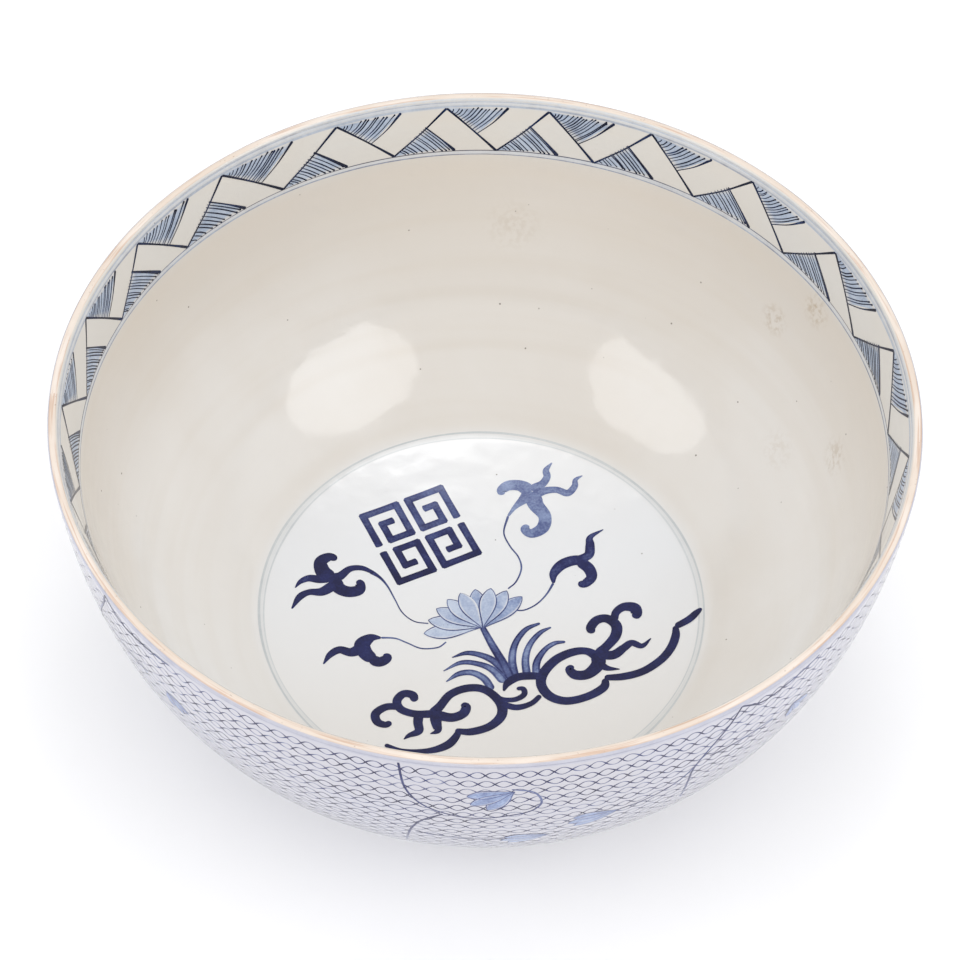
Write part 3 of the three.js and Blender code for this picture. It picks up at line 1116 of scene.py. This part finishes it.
def netTree():
    labels = {name: "Float" if isinstance(value, float) else "Int" for name, value in net.items()}
    labels |= {"Guide": "Object", "Material": "Material"}
    tree, given = newTree("ovalNet", labels)
    get = {label: given.part(label) for label in labels}
    steps = get["Steps"]
    size = {"Vertices X": get["Rows"] * 2 * steps, "Vertices Y": 2}
    sheet = given.node("GeometryNodeMeshGrid", size)
    index = given.node("GeometryNodeInputIndex")
    column = given.math("FLOOR", index / 2)
    side = index - column * 2 - 0.5
    line = given.math("FLOOR", column / steps)
    share = (column - line * steps) / (steps - 1)
    row = given.math("FLOOR", line / 2)
    way = (line - row * 2) * 2 - 1
    angle = share * (2 * math.pi)
    circle = {0: given.math("COSINE", angle), 1: given.math("SINE", angle)}
    around = given.node("ShaderNodeCombineXYZ", circle | {2: row * 0.37 + get["Seed"]})
    slow = noise(given, around, 2.4, 1) - 0.5
    quick = noise(given, around, 26, 1) - 0.5
    middle = get["First Row"] + row * get["Row Pitch"]
    radius = sampleLine(given, get["Guide"], middle).axes()[0]
    waves = given.math("ROUND", radius * math.pi / get["Oval Length"])
    chance = {2: 0.0, 3: 2 * math.pi, "ID": row, "Seed": get["Seed"]}
    start = given.node("FunctionNodeRandomValue", chance, out=1)
    swing = angle * waves + start + quick * get["Swing"]
    sine = given.math("SINE", swing)
    cosine = given.math("COSINE", swing)
    tall = get["Oval Height"] * (0.5 + quick * 0.3)
    node = 1 - given.math("ABSOLUTE", sine)
    slope = cosine * (math.pi / 2 * 1.04)
    width = get["Line Width"] * (0.7 + node * 0.5 + slow * 0.5)
    width = width * given.math("SQRT", 1 + slope * slope * 0.45)  # steep parts stay as wide
    depth = middle + slow * get["Sway"] + sine * way * tall + side * width
    flat = given.node("ShaderNodeCombineXYZ", {0: angle, 1: depth, 2: get["Lift"]})
    sheet = given.node("GeometryNodeSetPosition", {"Geometry": sheet, "Position": flat})
    ink = get["Ink"] + node * 0.28 + quick * 0.5 + slow * 0.4
    cover = get["Cover"] + node * 0.2 + quick * 0.5 + slow * 0.4
    for name, value in (("ink", ink), ("cover", cover)):
        stored = {"Geometry": sheet, "Name": name, "Value": value}
        sheet = given.node("GeometryNodeStoreNamedAttribute", stored)
    lastOfRow = given.math("COMPARE", given.math("MODULO", index, steps), steps - 1, 0.1)
    cut = {"Geometry": sheet, "Selection": lastOfRow}
    sheet = given.node("GeometryNodeDeleteGeometry", cut, domain="FACE")
    laid = layOnFace(given, sheet, get["Guide"], get["Material"])
    given.node("NodeGroupOutput", {0: laid})
    return tree


def netPiece():
    name = "outside_net_brushwork"
    empty = newObject(name, bpy.data.meshes.new(name))
    piece = growOn(outside, empty, netTree(), net | {"Material": outsideCobalt})
    return settle(piece, "pale_cobalt", "outside_painting")


netPiece()
print("net painted")

# sprays of buds over the net: degrees round the bowl and height in millimetres
sprays = {
    "turns": [0, 90, 180, 270],
    "perDegree": 3.3,
    "line": 1.05,
    "ink": 0.8,
    "petalLine": 0.5,
    "petals": [(-1, 0.95), (1, 0.9), (0, 1)],  # side and share of the length
    "stems": [
        [(260.2, 184), (260.9, 162), (263, 147), (266.5, 138.5), (270, 135.5), (274.2, 138.5)]
        + [(277, 143), (278.1, 151.5), (277, 162), (274.2, 166)],
        [(265.5, 138.5), (262.7, 128), (260.9, 112), (259.5, 84)],
        [(261.5, 110), (270, 104), (280, 107)],
        [(289, 125), (293, 128), (296.6, 135), (299, 146)],
        [(304.3, 185), (302.9, 173.5), (300.1, 156), (298.9, 144), (298.9, 130), (299.3, 109)],
        [(301, 151), (305, 150.5), (311.3, 151)],
        [(304.3, 185), (307.8, 178), (312, 179), (317.6, 182)],
    ],
    "buds": [  # base, length, middle petal's way (0 right, 90 down), fan, ink
        ((274.6, 163.6), 22.5, 144, 23, 0.36),
        ((289, 125), 23, 168, 17, 0.34),
        ((280, 107), 23, 164, 16, 0.3),
        ((315, 150), 15, 60, 26, 0.4),
    ],
}


def spraysPiece():
    s = sprays
    art = Drawing()

    def flat(angle, height):
        return (angle - 270) * s["perDegree"], outside.depthAtHeight(height * mm) / mm

    for turned in s["turns"]:
        move = np.array([turned * s["perDegree"], 0])
        for stem in s["stems"]:
            points = [np.array(flat(*place)) + move for place in stem]
            points = [(*place, s["line"]) for place in points]
            art.stroke(points, s["ink"], step=1.2, fade=(-0.1, 0.2))
        for base, length, way, fan, ink in s["buds"]:
            foot = np.array(flat(*base)) + move
            for side, share in s["petals"]:
                angle = math.radians(way + side * fan)
                petal(art, foot, angle, length * share, length * 0.4, ink, s["petalLine"])

    def toSheet(x, y):
        return np.radians(270 + x / s["perDegree"]), y * mm

    made = art.piece("outside_spray_brushwork", outside, toSheet, outsideCobalt)
    return settle(made, "dark_cobalt", "outside_painting")


spraysPiece()

outsideBands = {
    "radius": 200,
    "topLines": [  # how far down, width, ink, cover, lift
        (1.9, 3.8, 0.2, 0.75, 0.03),
        (2.2, 1.2, 0.5, 0.7, 0.036),
    ],
    "footHeight": 17.5 * mm,
    "footLines": [  # how far below that height, then the same
        (-1.5, 0.9, 1, 0.85, 0.036),
        (1.2, 0.7, 0.95, 0.8, 0.036),
    ],
}


def outsideBandPiece():
    s = outsideBands
    art = Drawing()
    low = outside.depthAtHeight(s["footHeight"]) / mm
    for start, lines in ((0, s["topLines"]), (low, s["footLines"])):
        for down, *line in lines:
            ringLine(art, 2 * math.pi * s["radius"], start + down, *line)

    def toSheet(x, y):
        return x / s["radius"], y * mm

    made = art.piece("outside_band_brushwork", outside, toSheet, bandCobalt)
    return settle(made, "pale_cobalt", "outside_painting")


outsideBandPiece()
print("outside painted")

studio = {
    "softboxes": [  # name, azimuth, elevation, distance, size, watts
        ("rightSoftbox", -38, 36, 1.5, 1.08, 6.5),
        ("leftSoftbox", -151, 31.5, 1.5, 1.08, 6.2),
        ("overheadSoftbox", 86, 71, 1.9, 0.9, 2.6),
        ("windowGlow", 84, 65, 1.9, 0.36, 1.3),
    ],
    "aim": (0, 0, 0.08),
    "world": 0.97,
    "floorTones": [srgb(250, 250, 250), srgb(246, 246, 246)],
    "place": (0, -1.022556, 1.405206),
    "look": (-0.00115488, 0.62577572, -0.78000219),
    "roll": 1.048,
    "lens": 130.18,
}


def floorPlane():
    half = 4
    mesh = bpy.data.meshes.new("studioFloor")
    corners = [(-half, -half, 0), (half, -half, 0), (half, half, 0), (-half, half, 0)]
    mesh.from_pydata(corners, [], [(0, 1, 2, 3)])
    material, bench, where = newMaterial("paleFloor")
    tone = noise(bench, where, 2).mix(*studio["floorTones"])
    closeMaterial(bench, {"Base Color": tone, "Roughness": 0.9, "Specular IOR Level": 0.1})
    mesh.materials.append(material)
    return newObject("studioFloor", mesh)


def softbox(name, azimuth, elevation, distance, size, watts):
    lamp = bpy.data.lights.new(name, "AREA")
    lamp.shape = "DISK"
    lamp.size = size
    lamp.energy = watts
    made = newObject(name, lamp)
    a, e = math.radians(azimuth), math.radians(elevation)
    way = Vector((math.cos(e) * math.cos(a), math.cos(e) * math.sin(a), math.sin(e)))
    made.location = Vector(studio["aim"]) + way * distance
    made.rotation_euler = way.to_track_quat("Z", "Y").to_euler()


def placeCamera():
    data = bpy.data.cameras.new("mainCamera")
    data.lens = studio["lens"]
    data.clip_end = 20
    camera = newObject("mainCamera", data)
    camera.location = studio["place"]
    aim = Vector(studio["look"]).to_track_quat("-Z", "Y").to_matrix()
    roll = Euler((0, 0, math.radians(studio["roll"]))).to_matrix()
    camera.rotation_euler = (aim @ roll).to_euler()
    bpy.context.scene.camera = camera


floor = floorPlane()
for settings in studio["softboxes"]:
    softbox(*settings)
world = bpy.data.worlds.new("paleRoom")
world.use_nodes = True
sky = world.node_tree.nodes["Background"].inputs
sky["Color"].default_value = (1, 1, 1, 1)
sky["Strength"].default_value = studio["world"]
bpy.context.scene.world = world
bpy.context.scene.view_settings.view_transform = "Standard"
placeCamera()
print("studio set")
